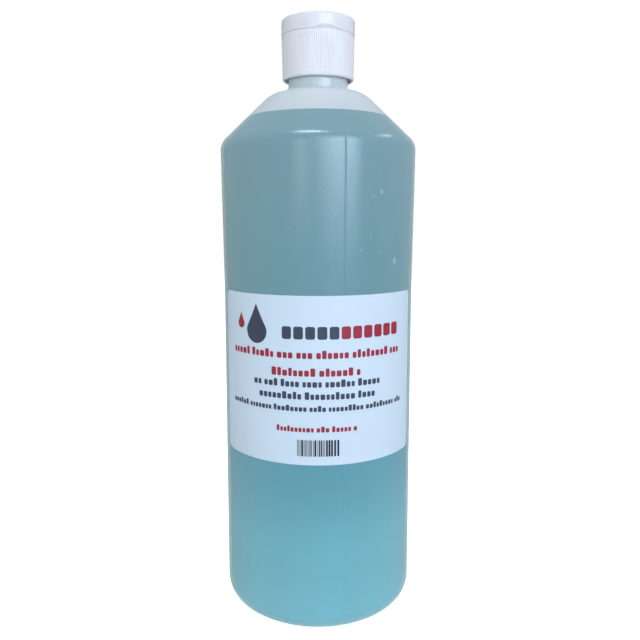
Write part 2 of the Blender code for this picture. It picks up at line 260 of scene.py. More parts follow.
def new_piece(name, verts, faces):
    """Mesh object from points and faces, in the scene's own collection."""
    mesh = bpy.data.meshes.new(name)
    mesh.from_pydata(verts, [], faces)
    item = bpy.data.objects.new(name, mesh)
    bpy.context.scene.collection.objects.link(item)
    return item


def face_outwards(item):
    """Turn every face of a closed mesh outwards."""
    mesh = bmesh.new()
    mesh.from_mesh(item.data)
    bmesh.ops.recalc_face_normals(mesh, faces=mesh.faces)
    mesh.to_mesh(item.data)
    mesh.free()
    return item


def spun(name, profile, angles, material, ring=False, swell=None):
    """Mesh of revolution whose profile runs down its outer side. A profile point on the axis is one
    vertex. swell(angle, index, r, z) adds to a point's radius."""
    verts, rows = [], []
    for index, (r, z) in enumerate(profile):
        if r < 1e-7:
            rows.append([len(verts)] * len(angles))
            verts.append((0.0, 0.0, z))
            continue
        rows.append([len(verts) + column for column in range(len(angles))])
        for angle in angles:
            radius = r + (swell(angle, index, r, z) if swell else 0.0)
            verts.append(
                (radius * math.cos(math.radians(angle)), radius * math.sin(math.radians(angle)), z)
            )
    pairs = list(zip(rows, rows[1:]))
    if ring:
        pairs.append((rows[-1], rows[0]))
    faces = []
    for upper, lower in pairs:
        for column in range(len(angles)):
            after = (column + 1) % len(angles)
            face = [upper[column], lower[column], lower[after], upper[after]]
            faces.append(list(dict.fromkeys(face)))
    return finish_mesh(new_piece(name, verts, faces), material)


def bead(angle, z, bottom, turns):
    """Height of a round helical thread above its wall, at a point of the wall."""
    best = 0.0
    for turn in range(-1, 3):
        along = turn + (angle % 360.0) / 360.0
        if not 0.0 <= along <= turns:
            continue
        run_out = min(1.0, 0.15 + 8.0 * min(along, turns - along))
        radius = THREAD_BEAD * run_out
        off = z - (bottom + THREAD_PITCH * along)
        if abs(off) < radius:
            best = max(best, math.sqrt(radius * radius - off * off))
    return best


def cube_between(name, low, high):
    """Box between two corners, in the cap's own frame: x sideways, y towards the hinge."""
    mesh = bmesh.new()
    bmesh.ops.create_cube(mesh, size=1.0)
    for vert in mesh.verts:
        for axis in range(3):
            vert.co[axis] = low[axis] + (high[axis] - low[axis]) * (vert.co[axis] + 0.5)
    data = bpy.data.meshes.new(name)
    mesh.to_mesh(data)
    mesh.free()
    item = bpy.data.objects.new(name, data)
    bpy.context.scene.collection.objects.link(item)
    return item


def cap_to_row(item):
    """Turn a mesh made in the cap's own frame to where the cap is screwed tight."""
    sideways = Vector((HINGE_BACK.y, -HINGE_BACK.x, 0.0))
    for vert in item.data.vertices:
        x, y, z = vert.co
        vert.co = sideways * x + HINGE_BACK * y + Vector((0.0, 0.0, z))
    return item


def apply_modifiers(item):
    """Replace a mesh by what its modifiers make of it."""
    bpy.context.view_layer.update()
    evaluated = item.evaluated_get(bpy.context.evaluated_depsgraph_get())
    mesh = bpy.data.meshes.new_from_object(evaluated)
    item.modifiers.clear()
    item.data = mesh
    return item


def combine(item, tool, operation):
    """Boolean the tool into the item and remove the tool."""
    modifier = item.modifiers.new(operation, "BOOLEAN")
    modifier.operation = operation
    modifier.object = tool
    apply_modifiers(item)
    bpy.data.objects.remove(tool)
    return item


# ---------------------------------------------------------------- materials

def new_material(name):
    """New material, its node tree and its shader."""
    material = bpy.data.materials.new(name)
    material.use_nodes = True
    tree = material.node_tree
    return material, tree, tree.nodes["Principled BSDF"]


def noise(tree, scale, detail=2.0, stretch=(1.0, 1.0, 1.0)):
    """Noise in the object's own coordinates; scale is in cells to the metre."""
    place = tree.nodes.new("ShaderNodeTexCoord")
    mapping = tree.nodes.new("ShaderNodeMapping")
    mapping.inputs["Scale"].default_value = stretch
    texture = tree.nodes.new("ShaderNodeTexNoise")
    texture.inputs["Scale"].default_value = scale
    texture.inputs["Detail"].default_value = detail
    tree.links.new(place.outputs["Object"], mapping.inputs["Vector"])
    tree.links.new(mapping.outputs["Vector"], texture.inputs["Vector"])
    return texture.outputs["Fac"]


def spread(tree, value, low, high):
    """Map a noise value to a range."""
    node = tree.nodes.new("ShaderNodeMapRange")
    node.inputs["From Min"].default_value = 0.3
    node.inputs["From Max"].default_value = 0.7
    node.inputs["To Min"].default_value = low
    node.inputs["To Max"].default_value = high
    tree.links.new(value, node.inputs["Value"])
    return node.outputs["Result"]


def blend_colours(tree, factor, *colours):
    """Mix two colours by a factor. Each colour is three numbers or another node's output."""
    node = tree.nodes.new("ShaderNodeMix")
    node.data_type = "RGBA"
    tree.links.new(factor, node.inputs[0])
    sockets = [socket for socket in node.inputs if socket.type == "RGBA"]
    for socket, colour in zip(sockets, colours):
        if isinstance(colour, tuple):
            socket.default_value = (*colour, 1.0)
        else:
            tree.links.new(colour, socket)
    return [socket for socket in node.outputs if socket.type == "RGBA"][0]


def bump(tree, shader, height, strength, distance):
    """Raise the surface by a height value, in the shader's normal."""
    node = tree.nodes.new("ShaderNodeBump")
    node.inputs["Strength"].default_value = strength
    node.inputs["Distance"].default_value = distance
    tree.links.new(height, node.inputs["Height"])
    tree.links.new(node.outputs["Normal"], shader.inputs["Normal"])


def by_height(tree, stops, gain):
    """Colour that changes with the height on the bottle; stops are (height, colour)."""
    place = tree.nodes.new("ShaderNodeTexCoord")
    split = tree.nodes.new("ShaderNodeSeparateXYZ")
    share = tree.nodes.new("ShaderNodeMapRange")
    share.inputs["From Max"].default_value = RIM_HEIGHT
    ramp = tree.nodes.new("ShaderNodeValToRGB")
    ramp.color_ramp.interpolation = "EASE"
    while len(ramp.color_ramp.elements) < len(stops):
        ramp.color_ramp.elements.new(0.5)
    for element, (height, colour) in zip(ramp.color_ramp.elements, stops):
        element.position = height / RIM_HEIGHT
        element.color = (*(channel * gain for channel in colour), 1.0)
    tree.links.new(place.outputs["Object"], split.inputs["Vector"])
    tree.links.new(split.outputs["Z"], share.inputs["Value"])
    tree.links.new(share.outputs["Result"], ramp.inputs["Fac"])
    return ramp.outputs["Color"]


def milky_plastic(name, stops, alpha, specular):
    """Natural polyethylene: milky, half see-through, satin, with a blow-moulded orange peel."""
    material, tree, shader = new_material(name)
    clouds = noise(tree, 45.0, 3.0, (1.0, 1.0, 0.25))
    # The height ramp carries its painted light into the skin's colour.
    colour = blend_colours(tree, clouds, by_height(tree, stops, 0.94), by_height(tree, stops, 1.06))
    tree.links.new(colour, shader.inputs["Base Color"])
    grain = noise(tree, 1500.0, 2.0)
    tree.links.new(spread(tree, grain, 0.15, 0.21), shader.inputs["Roughness"])
    shader.inputs["Sheen Weight"].default_value = 0.45
    shader.inputs["Sheen Roughness"].default_value = 0.7
    shader.inputs["Sheen Tint"].default_value = (0.70, 0.92, 0.94, 1.0)
    shader.inputs["IOR"].default_value = 1.56
    shader.inputs["Specular IOR Level"].default_value = specular
    shader.inputs["Alpha"].default_value = alpha
    bump(tree, shader, grain, 0.6, 0.00013)
    return material


def teal_liquid():
    """Teal solution, its colour painted brighter and clearer towards the base, standing in for the
    floor's light through it.
    """
    material, tree, shader = new_material("teal_solution")
    # Painted light: the height ramp brightens the teal towards the base, standing in for the floor's
    # light.
    tree.links.new(by_height(tree, TEAL_WITH_PAINTED_FLOOR_LIGHT, 0.9), shader.inputs["Base Color"])
    shader.inputs["Roughness"].default_value = 0.30
    shader.inputs["IOR"].default_value = 1.34
    shader.inputs["Subsurface Weight"].default_value = 1.0
    shader.inputs["Subsurface Radius"].default_value = (0.5, 0.9, 1.0)
    shader.inputs["Subsurface Scale"].default_value = 0.03
    return material


def white_polypropylene():
    """Glossy injection-moulded white with a faint unevenness."""
    material, tree, shader = new_material("white_polypropylene")
    clouds = noise(tree, 160.0, 2.0)
    colour = blend_colours(tree, clouds, (0.74, 0.73, 0.76), (0.79, 0.78, 0.81))
    tree.links.new(colour, shader.inputs["Base Color"])
    fine = noise(tree, 900.0, 2.0)
    tree.links.new(spread(tree, fine, 0.04, 0.08), shader.inputs["Roughness"])
    shader.inputs["IOR"].default_value = 1.49
    bump(tree, shader, clouds, 0.15, 0.0001)
    return material


def label_film():
    """White label film with a soft sheen, faintly mottled."""
    material, tree, shader = new_material("label_film")
    clouds = noise(tree, 60.0, 4.0)
    colour = blend_colours(tree, clouds, (0.60, 0.70, 0.80), (0.64, 0.74, 0.84))
    tree.links.new(colour, shader.inputs["Base Color"])
    fibre = noise(tree, 2600.0, 3.0)
    tree.links.new(spread(tree, fibre, 0.42, 0.55), shader.inputs["Roughness"])
    bump(tree, shader, fibre, 0.10, 0.00002)
    return material


def ink(name, dark, light):
    """Printed ink, slightly uneven as a digital print is."""
    material, tree, shader = new_material(name)
    colour = blend_colours(tree, noise(tree, 1800.0, 2.0), dark, light)
    tree.links.new(colour, shader.inputs["Base Color"])
    shader.inputs["Roughness"].default_value = 0.45
    return material


def foam():
    """Matt closed-cell foam."""
    material, tree, shader = new_material("foam")
    cells = noise(tree, 3000.0, 3.0)
    colour = blend_colours(tree, cells, (0.70, 0.71, 0.72), (0.84, 0.85, 0.86))
    tree.links.new(colour, shader.inputs["Base Color"])
    shader.inputs["Roughness"].default_value = 0.85
    bump(tree, shader, cells, 0.5, 0.0001)
    return material


# ---------------------------------------------------------------- bottle and liquid

def floor_profile(inset):
    """Pushed-up base from the axis to the foot ring, moved into the bottle by inset."""
    sphere = (FOOT_RING_INNER**2 + PUSH_UP**2) / (2 * PUSH_UP)
    reach = math.degrees(math.asin(FOOT_RING_INNER / sphere))
    return arc(0.0, PUSH_UP - sphere, sphere + inset, 90, 90 - reach, 12)


def wall_profile(inset):
    """Wall from the foot ring up to the root of the neck, moved into the bottle by inset."""
    turn = 90 - CONE_SLOPE
    corner_r = SHOULDER_RADIUS - SHOULDER_ROUNDING
    shoulder = arc(corner_r, CORNER_HEIGHT, SHOULDER_ROUNDING - inset, 0, turn, 12)
    dome_r = NECK_RADIUS + NECK_ROOT_ROUNDING
    dome = arc(dome_r, DOME_TOP - DOME_ROUNDING, DOME_ROUNDING - inset, turn, 90, 14)
    foot = arc(BODY_RADIUS - BASE_ROUNDING, BASE_ROUNDING, BASE_ROUNDING - inset, -90, 0, 14)
    taper = (BODY_RADIUS - inset, LABEL_HIGH.z + 0.0003)
    straight = line(foot[-1], taper, 6) + [taper] + line(taper, shoulder[0], 6)
    share = (TIDE_HEIGHT - shoulder[-1][1]) / (dome[0][1] - shoulder[-1][1])
    filled = tuple(a + (b - a) * share for a, b in zip(shoulder[-1], dome[0]))
    cone = line(shoulder[-1], filled, 4) + [filled] + line(filled, dome[0], 4)
    return foot + straight + shoulder + cone + dome


def neck_outside():
    """Outside of the neck, from the rim down to its root, with rows fine enough for the thread."""
    top = RIM_HEIGHT - RIM_ROUNDING
    rim = arc(NECK_RADIUS - RIM_ROUNDING, top, RIM_ROUNDING, 90, 0, 4)
    thread_low = THREAD_BOTTOM - 1.3 * THREAD_BEAD
    rows = line((NECK_RADIUS, top), (NECK_RADIUS, thread_low), 50)
    root_z = DOME_TOP + NECK_ROOT_ROUNDING
    root = arc(NECK_RADIUS + NECK_ROOT_ROUNDING, root_z, NECK_ROOT_ROUNDING, 180, 255, 4)
    return rim + rows + [(NECK_RADIUS, thread_low)] + root


def bore_inside():
    """Bore of the neck, from the underside of the dome up to the rim."""
    foot_z = DOME_TOP - WALL + BORE_FOOT_ROUNDING
    foot = arc(BORE_RADIUS + BORE_FOOT_ROUNDING, foot_z, BORE_FOOT_ROUNDING, 270, 180, 6)
    rim = arc(BORE_RADIUS + RIM_ROUNDING, RIM_HEIGHT - RIM_ROUNDING, RIM_ROUNDING, 180, 90, 4)
    return foot + rim


def bottle_columns():
    """Even columns, with finer ones over the two mould seams."""
    angles = set(even_angles(BOTTLE_COLUMNS))
    for seam in (SEAM_AZIMUTH - 90.0, SEAM_AZIMUTH + 90.0):
        angles |= {(seam + step * 0.12) % 360.0 for step in range(-8, 9)}
    return sorted(angles)


def seam_swell(angle, radius, z):
    """Height of the mould seam, a low sharp ridge on two opposite sides, worn off the shoulder."""
    off = (angle + 90.0 - SEAM_AZIMUTH + 90.0) % 180.0 - 90.0
    across = math.radians(off) * radius / SEAM_WIDTH
    height = SEAM_HEIGHT * (0.45 + 0.55 * smooth((z - 0.130) / 0.04))
    height *= 1.0 - 0.85 * smooth((z - 0.1985) / 0.002)
    return height * math.exp(-across * across)


def make_bottle():
    """Blow-moulded wall: one closed shell with its thread and its two seam ridges."""
    inside = floor_profile(WALL) + wall_profile(WALL) + bore_inside()
    neck = neck_outside()
    outside = neck + wall_profile(0.0)[::-1] + floor_profile(0.0)[::-1]
    first_neck, first_wall = len(inside), len(inside) + len(neck)

    def swell(angle, index, r, z):
        if first_neck <= index < first_wall:
            return bead(angle, z, THREAD_BOTTOM, THREAD_TURNS)
        if index >= first_wall and z > BASE_ROUNDING * 0.5:
            return seam_swell(angle, r, z)
        return 0.0

    profile = inside + outside
    # Wet skins take the teal ramp with its painted floor light, dry skins the milky ramp with its
    # painted neck light.
    skins = [
        milky_plastic("natural_polyethylene", TEAL_WITH_PAINTED_FLOOR_LIGHT, 0.72, 1.0),
        milky_plastic("natural_polyethylene_dry", MILK_WITH_PAINTED_NECK_LIGHT, 0.75, 0.9),
        milky_plastic("natural_polyethylene_inside", TEAL_WITH_PAINTED_FLOOR_LIGHT, 0.10, 0.1),
        milky_plastic("natural_polyethylene_inside_dry", MILK_WITH_PAINTED_NECK_LIGHT, 0.30, 0.2),
    ]
    bottle = spun("bottle_wall", profile, bottle_columns(), skins[0], swell=swell)
    for skin in skins[1:]:
        bottle.data.materials.append(skin)
    inside_faces = (len(inside) - 1) * len(bottle_columns())
    for polygon in bottle.data.polygons:
        is_inside = polygon.index < inside_faces
        is_dry = polygon.center.z > TIDE_HEIGHT
        polygon.material_index = 2 * is_inside + is_dry
    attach(bottle, "bottle")
    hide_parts("bottle")


def make_liquid():
    """Teal fill against the wall, its surface rising a little where it wets the plastic."""
    inset = WALL + LIQUID_GAP
    wall = [point for point in wall_profile(inset) if point[1] < FILL_HEIGHT - 1e-6]
    slope = math.tan(math.radians(CONE_SLOPE))
    corner_r, corner_z = wall[-1]
    edge_r = corner_r - (FILL_HEIGHT - corner_z) / slope
    level, steps = FILL_HEIGHT - MENISCUS, 16
    surface = [(0.0, level), (edge_r * 0.5, level)]
    for step in range(1, steps + 1):
        off = MENISCUS_REACH * (1.0 - step / steps) ** 2
        surface.append((edge_r - off, level + MENISCUS * math.exp(-off / MENISCUS_FALL)))
    profile = surface + wall[::-1] + floor_profile(inset)[::-1]
    liquid = spun("liquid_fill", profile, even_angles(BOTTLE_COLUMNS), teal_liquid())
    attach(liquid, "bottle")
    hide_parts("sealing_solution")


def make_bubbles():
    """Air bubbles against the wall, most of those in front on its upper right. They are flat discs in
    the wall's outer skin, because the wall hides whatever lies behind it."""
    rng = random.Random(3)
    spots = list(FRONT_BUBBLES)
    for _ in range(BACK_BUBBLES):
        spots.append((rng.uniform(60, 290), rng.uniform(0.145, 0.193), rng.uniform(0.2, 0.4), 1.0))
    verts, faces = [], []
    sides, steps = 16, 6
    for azimuth, z, radius, tall in spots:
        start, radius = len(verts), radius / 1000
        share = min(1.0, max(0.0, (z - LABEL_HIGH.z) / (CORNER_HEIGHT - LABEL_HIGH.z)))
        wall = BODY_RADIUS + (SHOULDER_RADIUS - BODY_RADIUS) * share
        depth = wall - BUBBLE_DEPTH / 2
        for step in range(steps + 1):
            tilt = math.pi * step / steps
            ring = 1 if step in (0, steps) else sides
            for side in range(ring):
                turn = math.tau * side / sides
                across = radius * math.sin(tilt) * math.cos(turn)
                height = z + radius * tall * math.sin(tilt) * math.sin(turn)
                angle = math.radians(azimuth) + across / wall
                out = depth + BUBBLE_DEPTH * math.cos(tilt)
                verts.append((out * math.sin(angle), -out * math.cos(angle), height))
        for step in range(steps):
            for side in range(sides):
                after = (side + 1) % sides
                here = start + (0 if step == 0 else 1 + (step - 1) * sides)
                below = start + 1 + step * sides
                if step == 0:
                    faces.append((start, below + side, below + after))
                elif step == steps - 1:
                    faces.append((here + side, below, here + after))
                else:
                    faces.append((here + side, below + side, below + after, here + after))
    bubbles = face_outwards(new_piece("air_bubbles", verts, faces))
    material, tree, shader = new_material("air_bubble")
    colour = blend_colours(tree, noise(tree, 300.0), (0.25, 0.37, 0.45), (0.29, 0.41, 0.49))
    tree.links.new(colour, shader.inputs["Base Color"])
    shader.inputs["Roughness"].default_value = 0.2
    finish_mesh(bubbles, material)
    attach(bubbles, "bottle")


# ---------------------------------------------------------------- label

def on_wall(x, z, stand_off):
    """Point of the front wall: x is measured round the wall from the label's middle."""
    angle = x / BODY_RADIUS
    radius = BODY_RADIUS + stand_off
    return (radius * math.sin(angle), -radius * math.cos(angle), z)


def wrapped_sheet(name, outlines, stand_off, thickness, material):
    """Thin closed pieces on the wall. Each outline is a list of columns (x, low z, high z)."""
    verts, faces = [], []
    for columns in outlines:
        start = len(verts)
        for x, low, high in columns:
            for offset in (stand_off, stand_off + thickness):
                verts.append(on_wall(x, low, offset))
                verts.append(on_wall(x, high, offset))
        for step in range(len(columns) - 1):
            a = start + 4 * step
            b = a + 4
            faces += [(a, a + 1, b + 1, b), (a + 2, b + 2, b + 3, a + 3)]
            faces += [(a, b, b + 2, a + 2), (a + 1, a + 3, b + 3, b + 1)]
        last = start + 4 * (len(columns) - 1)
        faces.append((start, start + 2, start + 3, start + 1))
        faces.append((last, last + 1, last + 3, last + 2))
    return finish_mesh(new_piece(name, verts, faces), material)


def rounded_bar(x, z, width, height, corner, step=0.0012):
    """Columns of a bar with rounded ends, centred on (x, z)."""
    half = width / 2
    corner = min(corner, half, height / 2)
    places = [-half + corner * (1 - math.cos(math.radians(a))) for a in (0, 15, 30, 45, 60, 75, 90)]
    middle = max(1, math.ceil((width - 2 * corner) / step))
    inner = [-half + corner + (width - 2 * corner) * i / middle for i in range(1, middle)]
    places = places + inner + [-place for place in places[::-1]]
    columns = []
    for place in places:
        near = max(0.0, abs(place) - (half - corner))
        cut = corner - math.sqrt(max(0.0, corner * corner - near * near))
        reach = max(height / 2 - cut, 1e-6)
        columns.append((x + place, z - reach, z + reach))
    return columns


def print_line(rng, left, right, baseline, height, mean):
    """A line of print as plain blocks in word-long groups, some a little taller, none a letter."""
    blocks, x = [], left
    while x < right - height * 0.5:
        for _ in range(max(2, round(mean * rng.uniform(0.4, 1.6)))):
            width = height * rng.uniform(0.42, 0.62)
            tall = height * rng.choice((0.72, 0.72, 0.72, 1.0))
            if x + width > right:
                break
            middle = (x + width / 2, baseline + tall / 2)
            blocks.append(rounded_bar(*middle, width, tall, height * 0.16))
            x += width + height * 0.16
        x += height * 0.32
    return blocks


def make_label():
    """White film label with rounded corners and plain printed marks."""
    middle = (LABEL_LOW.z + LABEL_HIGH.z) / 2
    height = LABEL_HIGH.z - LABEL_LOW.z
    columns = rounded_bar(0.0, middle, LABEL_WIDTH, height, LABEL_CORNER, 0.001)
    label = wrapped_sheet(
        "label_sheet", [columns], LABEL_STAND_OFF, LABEL_THICKNESS, label_film()
    )
    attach(label, "bottle")
    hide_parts("front_label")


def droplet(x, z, radius):
    """Columns of a drop shape: a disc with a point on top."""
    columns = []
    for step in range(25):
        place = -radius + 2 * radius * step / 24
        bottom = math.sqrt(max(0.0, radius * radius - place * place))
        share = abs(place) / radius
        top = radius * (1.45 * (1 - share) ** 1.5 + 0.6 * (1 - share * share) ** 0.5)
        columns.append((x + place, z - max(bottom, 1e-6), z + max(top, 1e-6)))
    return columns


def make_print():
    """Printed marks: two drops, a heading, lines of blocks and a bar code, none of it lettering."""
    rng = random.Random(7)
    bars = {"slate": [], "crimson": [], "bar_code": []}
    bars["slate"].append(droplet(-0.0262, 0.1246, 0.0052))
    bars["crimson"].append(droplet(-0.0350, 0.1268, 0.0021))
    for index in range(HEADING_BLOCKS):
        x = HEADING_LEFT + HEADING_STEP * (index + 0.5)
        block = rounded_bar(x, HEADING_HEIGHT, 0.0038, 0.0050, 0.0009)
        bars["slate" if index < HEADING_SLATE_BLOCKS else "crimson"].append(block)
    for name, left, right, baseline, height, mean in PRINT_LINES:
        bars[name] += print_line(rng, left, right, baseline, height, mean)
    x = -BAR_CODE_HALF
    while x < BAR_CODE_HALF:
        width = rng.choice((0.00025, 0.00025, 0.0005, 0.00075))
        bars["bar_code"].append(rounded_bar(x + width / 2, BAR_CODE_HEIGHT, width, BAR_LENGTH, 0.00001))
        x += width + rng.choice((0.00025, 0.0003, 0.0005))
    inks = {
        "slate": ink("ink_slate", (0.040, 0.052, 0.090), (0.050, 0.064, 0.105)),
        "crimson": ink("ink_crimson", (0.34, 0.012, 0.038), (0.38, 0.018, 0.048)),
        "bar_code": ink("ink_black", (0.010, 0.012, 0.025), (0.015, 0.018, 0.032)),
    }
    stand_off = LABEL_STAND_OFF + LABEL_THICKNESS + INK_STAND_OFF
    for name, outlines in bars.items():
        piece = wrapped_sheet("print_" + name, outlines, stand_off, INK_THICKNESS, inks[name])
        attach(piece, "bottle")


# ---------------------------------------------------------------- cap and lid

def rib_swell(angle):
    """Depth of the grip ribs below the cap's outer radius."""
    phase = (angle * RIB_COUNT / 360.0) % 1.0
    return -RIB_DEPTH * (0.5 + 0.5 * math.cos(math.tau * phase)) ** 1.5


def cap_section():
    """Section of the cap base, with the first and the last of the points on its ribbed side."""
    edge = CAP_EDGE_ROUNDING
    ring_top = DECK_TOP + LAND_RING_HEIGHT
    top = arc(SPOUT_TOP_RADIUS - edge / 2, SPOUT_TOP - edge / 2, edge / 2, 90, 0, 3)
    top += [(SPOUT_FOOT_RADIUS, DECK_TOP), (LAND_RING_INNER, DECK_TOP), (LAND_RING_INNER, ring_top)]
    top += arc(LAND_RING_OUTER - edge / 2, ring_top - edge / 2, edge / 2, 90, 0, 3)
    top += [(LAND_RING_OUTER, DECK_TOP)]
    top += arc(CAP_RADIUS - edge / 2, DECK_TOP - edge / 2, edge / 2, 90, 0, 3)
    rounding = CAP_FOOT_ROUNDING
    foot = arc(CAP_RADIUS - CAP_TAPER - rounding, CAP_BOTTOM + rounding, rounding, 0, -90, 8)
    side = line(top[-1], foot[0], 8)
    inside = [
        (CAP_INNER_RADIUS + CAP_LEAD_IN, CAP_BOTTOM),
        (CAP_INNER_RADIUS, CAP_BOTTOM + CAP_LEAD_IN),
    ]
    inner_side = line(inside[-1], (CAP_INNER_RADIUS, DECK_BOTTOM), 70)
    deck = [(CAP_INNER_RADIUS, DECK_BOTTOM), (ORIFICE_RADIUS, DECK_BOTTOM)]
    deck += [(ORIFICE_RADIUS, SPOUT_TOP - edge / 2), (ORIFICE_RADIUS + edge / 2, SPOUT_TOP)]
    section = top + side + foot + inside + inner_side + deck
    return section, len(top), len(top) + len(side)


def ear(name, side, towards):
    """Block that carries one hinge film, below the axis or above it."""
    near = DECK_TOP if towards < 0 else LID_BOTTOM
    far = near + towards * EAR_HEIGHT
    low = (side * FILM_OFFSET - FILM_WIDTH / 2, EAR_ROOT_DEPTH, min(near, far))
    high = (side * FILM_OFFSET + FILM_WIDTH / 2, EAR_DEPTH, max(near, far))
    return cap_to_row(cube_between(name, low, high))


def window(name, towards):
    """Recess at the back that clears the strap."""
    near = HINGE_HEIGHT - towards * 2 * STRAP_GAP
    far = HINGE_HEIGHT + towards * (STRAP_REACH + STRAP_GAP)
    half = STRAP_WIDTH / 2 + STRAP_GAP
    low = (-half, WINDOW_DEPTH, min(near, far))
    high = (half, HINGE_DEPTH, max(near, far))
    return cap_to_row(cube_between(name, low, high))


def make_cap(white):
    """Ribbed screw cap with its thread, deck and spout."""
    profile, first_side, last_side = cap_section()
    columns = even_angles(RIB_COUNT * RIB_COLUMNS)

    def swell(angle, index, r, z):
        if first_side <= index <= last_side:
            return rib_swell(angle)
        if r == CAP_INNER_RADIUS:
            bottom = THREAD_BOTTOM - CAP_THREAD_DROP
            return -bead(angle, z, bottom, CAP_THREAD_TURNS)
        return 0.0

    cap = spun("cap_body", profile, columns, white, ring=True, swell=swell)
    for side, word in ((-1, "left"), (1, "right")):
        combine(cap, ear("ear_" + word, side, -1), "UNION")
    combine(cap, window("cap_window", -1), "DIFFERENCE")
    finish_mesh(cap)
    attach(cap, "cap")
    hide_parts("cap_base")


def lid_section():
    """Section of the lid: top and side outside, then side, ceiling and plug inside."""
    ceiling = LID_TOP - LID_TOP_THICKNESS
    rounding = LID_INNER_ROUNDING
    plug_bottom = ceiling - PLUG_LENGTH
    edge = LID_EDGE_ROUNDING
    low, rim = LID_RIM_ROUNDING, LID_BOTTOM - RIM_DROP
    points = [(0.0, LID_TOP), (LID_RADIUS * 0.5, LID_TOP)]
    points += arc(LID_RADIUS - edge, LID_TOP - edge, edge, 90, 0, 8)
    points += arc(LID_RADIUS - low, rim + low, low, 0, -90, 4)
    points += [(LID_INNER_RADIUS, rim)]
    points += arc(LID_INNER_RADIUS - rounding, ceiling - rounding, rounding, 0, 90, 5)
    points += [(PLUG_RADIUS + rounding, ceiling), (PLUG_RADIUS, ceiling - rounding)]
    tip = PLUG_TIP_ROUNDING
    points += arc(PLUG_RADIUS - tip, plug_bottom + tip, tip, 0, -90, 4)
    return points + [(0.0, plug_bottom)]


def thumb_tool():
    """Wedge whose slanted face runs in under the front of the lid's lower rim."""
    over = THUMB_HEIGHT / 4
    slope = THUMB_DEPTH / THUMB_HEIGHT
    low, high = (-LID_RADIUS, -2 * LID_RADIUS, -over), (LID_RADIUS, 0.0, 1.0)
    tool = cube_between("thumb_tool", low, high)
    for vert in tool.data.vertices:
        if vert.co.z > 0.0:
            vert.co.z = THUMB_HEIGHT + over
        if vert.co.y > -LID_RADIUS:
            vert.co.y = -LID_RADIUS + THUMB_DEPTH - slope * vert.co.z
        vert.co.z += LID_BOTTOM
    return cap_to_row(tool)


def make_lid(white):
    """Glossy flip lid with its plug, thumb recess and hinge ears."""
    lid = spun("lid_shell", lid_section(), even_angles(CAP_COLUMNS), white)
    for side, word in ((-1, "left"), (1, "right")):
        combine(lid, ear("lid_ear_" + word, side, 1), "UNION")
    combine(lid, window("lid_window", 1), "DIFFERENCE")
    combine(lid, thumb_tool(), "DIFFERENCE")
    finish_mesh(lid)
    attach(lid, "lid")
    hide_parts("flip_lid")


def bent_strip(name, path, width, thickness, offset, material):
    """Strip along a path of (depth, height) points, centred sideways on offset."""
    verts, faces = [], []
    for index, (depth, height) in enumerate(path):
        before = Vector(path[max(index - 1, 0)])
        after = Vector(path[min(index + 1, len(path) - 1)])
        along = (after - before).normalized()
        across = Vector((-along.y, along.x)) * thickness / 2
        for sign in (-1, 1):
            for side in (-1, 1):
                x = offset + side * width / 2
                verts.append((x, depth + sign * across.x, height + sign * across.y))
    for index in range(len(path) - 1):
        a, b = 4 * index, 4 * index + 4
        faces += [(a, b, b + 1, a + 1), (a + 2, a + 3, b + 3, b + 2)]
        faces += [(a, a + 2, b + 2, b), (a + 1, b + 1, b + 3, a + 3)]
    last = 4 * (len(path) - 1)
    faces += [(0, 1, 3, 2), (last, last + 2, last + 3, last + 1)]
    strip = face_outwards(new_piece(name, verts, faces))
    return cap_to_row(finish_mesh(strip, material))


def make_hinge(white):
    """Two folded films and the snap strap of the hinge."""
    fold = arc(EAR_DEPTH + 0.0001, HINGE_HEIGHT, FILM_ROUNDING, -90, 90, 16)
    start = EAR_DEPTH - 0.0001
    path = [(start, fold[0][1])] + fold + [(start, fold[-1][1])]
    width = FILM_WIDTH - 0.0002
    for side, word in ((-1, "left"), (1, "right")):
        offset = side * FILM_OFFSET
        film = bent_strip("hinge_film_" + word, path, width, FILM_THICKNESS, offset, white)
        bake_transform(film)
        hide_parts("hinge_web_" + word)
    reach = STRAP_REACH + STRAP_GAP
    ends = (STRAP_DEPTH, HINGE_HEIGHT - reach), (STRAP_DEPTH, HINGE_HEIGHT + reach)
    path = [ends[0]] + line(ends[0], ends[1], 16) + [ends[1]]
    strap = bent_strip("strap_band", path, STRAP_WIDTH, STRAP_THICKNESS, 0.0, white)
    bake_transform(strap)
    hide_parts("snap_strap")


def make_liner():
    """Foam ring, its edges a little rounded."""
    edge, edge_r = LINER_ROUNDING, LINER_OUTER_RADIUS - LINER_ROUNDING
    low, high = LINER_LOW.z, LINER_HIGH.z
    profile = arc(edge_r, high - edge, edge, 90, 0, 3) + arc(edge_r, low + edge, edge, 0, -90, 3)
    profile += [(LINER_INNER_RADIUS, low), (LINER_INNER_RADIUS, high)]
    liner = spun("liner_ring", profile, even_angles(CAP_COLUMNS), foam(), ring=True)
    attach(liner, "liner")
    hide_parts("liner")


# ---------------------------------------------------------------- stage

def camera_only(tree, elsewhere, in_view):
    """One value for what the camera sees directly, another for the light that a surface sends."""
    path = tree.nodes.new("ShaderNodeLightPath")
    node = tree.nodes.new("ShaderNodeMapRange")
    node.inputs["To Min"].default_value = elsewhere
    node.inputs["To Max"].default_value = in_view
    tree.links.new(path.outputs["Is Camera Ray"], node.inputs["Value"])
    return node.outputs["Result"]


